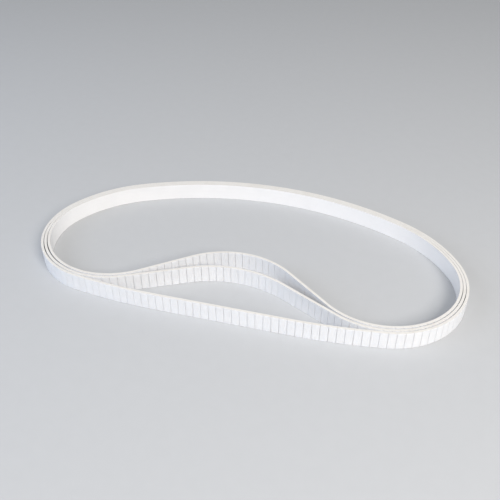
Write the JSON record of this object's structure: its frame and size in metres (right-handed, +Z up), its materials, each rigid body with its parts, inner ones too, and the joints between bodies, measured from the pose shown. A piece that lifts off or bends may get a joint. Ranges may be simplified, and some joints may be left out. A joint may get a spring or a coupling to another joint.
{
  "type": "timing belt",
  "caption": "Nested endless white timing belts standing on edge: thin flat-topped teeth outside, smooth inside, steel tension cords within, the inner loops bulging into lobes.",
  "frame": {"origin": "centre of the outer belt's bounding box, on the plane the belts stand on", "axes": "+X along the loop, parallel to the straight front strand; +Y from the straight front strand to the arched back; +Z up, along the belts' width"},
  "size_m": [0.5902, 0.2908, 0.025],
  "materials": {
    "polyurethane": "matte, slightly satin",
    "steel_cord": "bright drawn wire"
  },
  "bodies": {
    "outer_belt": {"outer_belt_body": "polyurethane", "outer_belt_cord_01": "steel_cord", "outer_belt_cord_02": "steel_cord", "outer_belt_cord_03": "steel_cord", "outer_belt_cord_04": "steel_cord", "outer_belt_cord_05": "steel_cord", "outer_belt_cord_06": "steel_cord", "outer_belt_cord_07": "steel_cord", "outer_belt_cord_08": "steel_cord", "outer_belt_cord_09": "steel_cord", "outer_belt_cord_10": "steel_cord", "outer_belt_cord_11": "steel_cord", "outer_belt_cord_12": "steel_cord"},
    "middle_belt": {"middle_belt_body": "polyurethane", "middle_belt_cord_01": "steel_cord", "middle_belt_cord_02": "steel_cord", "middle_belt_cord_03": "steel_cord", "middle_belt_cord_04": "steel_cord", "middle_belt_cord_05": "steel_cord", "middle_belt_cord_06": "steel_cord", "middle_belt_cord_07": "steel_cord", "middle_belt_cord_08": "steel_cord", "middle_belt_cord_09": "steel_cord", "middle_belt_cord_10": "steel_cord", "middle_belt_cord_11": "steel_cord", "middle_belt_cord_12": "steel_cord"},
    "inner_belt": {"inner_belt_body": "polyurethane", "inner_belt_cord_01": "steel_cord", "inner_belt_cord_02": "steel_cord", "inner_belt_cord_03": "steel_cord", "inner_belt_cord_04": "steel_cord", "inner_belt_cord_05": "steel_cord", "inner_belt_cord_06": "steel_cord", "inner_belt_cord_07": "steel_cord", "inner_belt_cord_08": "steel_cord", "inner_belt_cord_09": "steel_cord", "inner_belt_cord_10": "steel_cord", "inner_belt_cord_11": "steel_cord", "inner_belt_cord_12": "steel_cord"}
  },
  "joints": [
    {"name": "middle_lift", "type": "slide", "parent": "outer_belt", "child": "middle_belt", "axis": [0, 0, 1], "range_m": [0, 0.04]},
    {"name": "inner_lift", "type": "slide", "parent": "middle_belt", "child": "inner_belt", "axis": [0, 0, 1], "range_m": [0, 0.04]}
  ]
}
